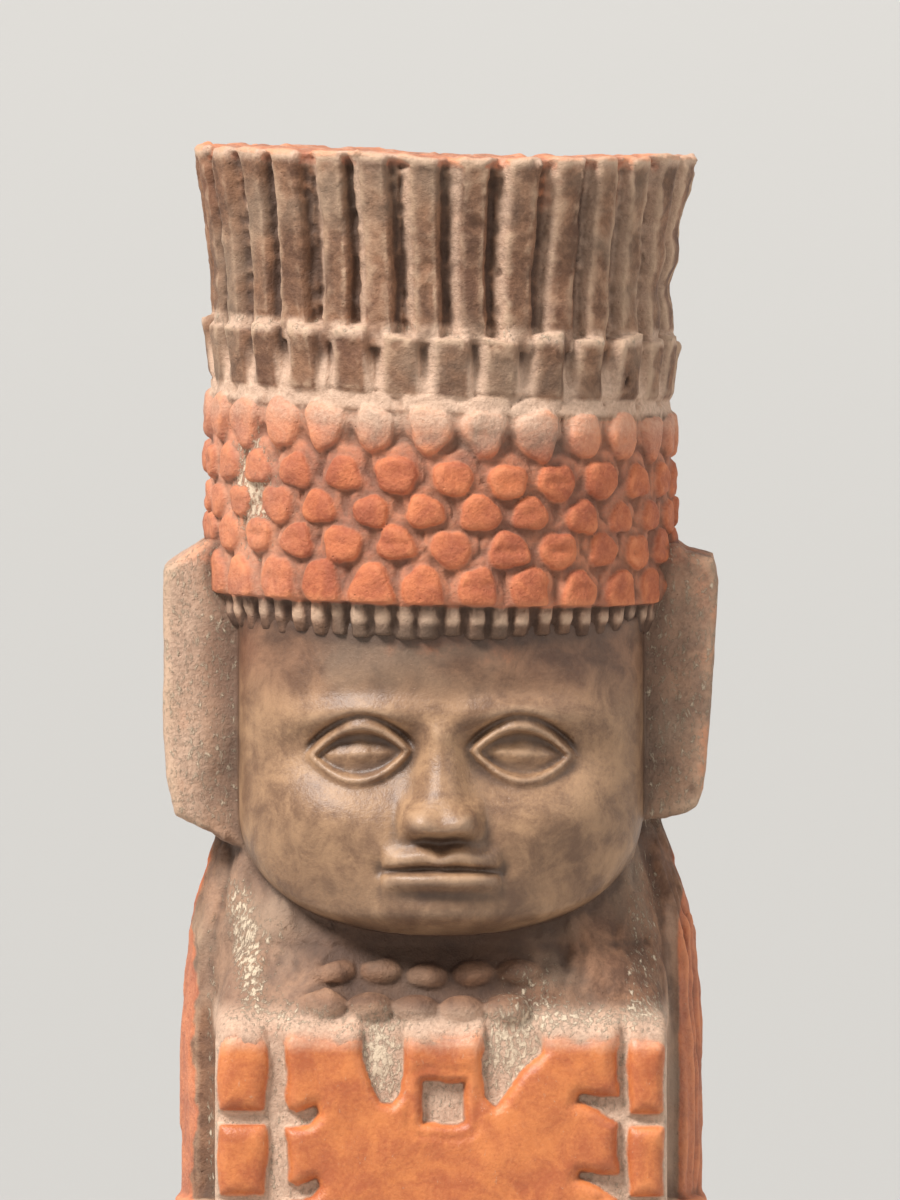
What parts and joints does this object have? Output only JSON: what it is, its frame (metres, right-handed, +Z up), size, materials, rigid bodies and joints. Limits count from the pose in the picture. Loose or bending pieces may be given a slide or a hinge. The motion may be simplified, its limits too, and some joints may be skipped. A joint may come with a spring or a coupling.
{
  "type": "terracotta warrior figurine",
  "caption": "Solid moulded clay figure of a standing warrior with a feather headdress over a studded band, slab ear ornaments and a butterfly breastplate, on a low plinth it stands on.",
  "frame": {"origin": "middle of the plinth's underside", "axes": "+Z up, the figure faces -Y, +X at the right of someone who faces it"},
  "size_m": [0.062, 0.056, 0.272],
  "materials": {
    "fired_clay": "fired clay, brown slip rubbed back to orange, matt with a slight burnish on the face"
  },
  "bodies": {
    "root": {"warrior_figurine": "fired_clay"}
  },
  "joints": []
}
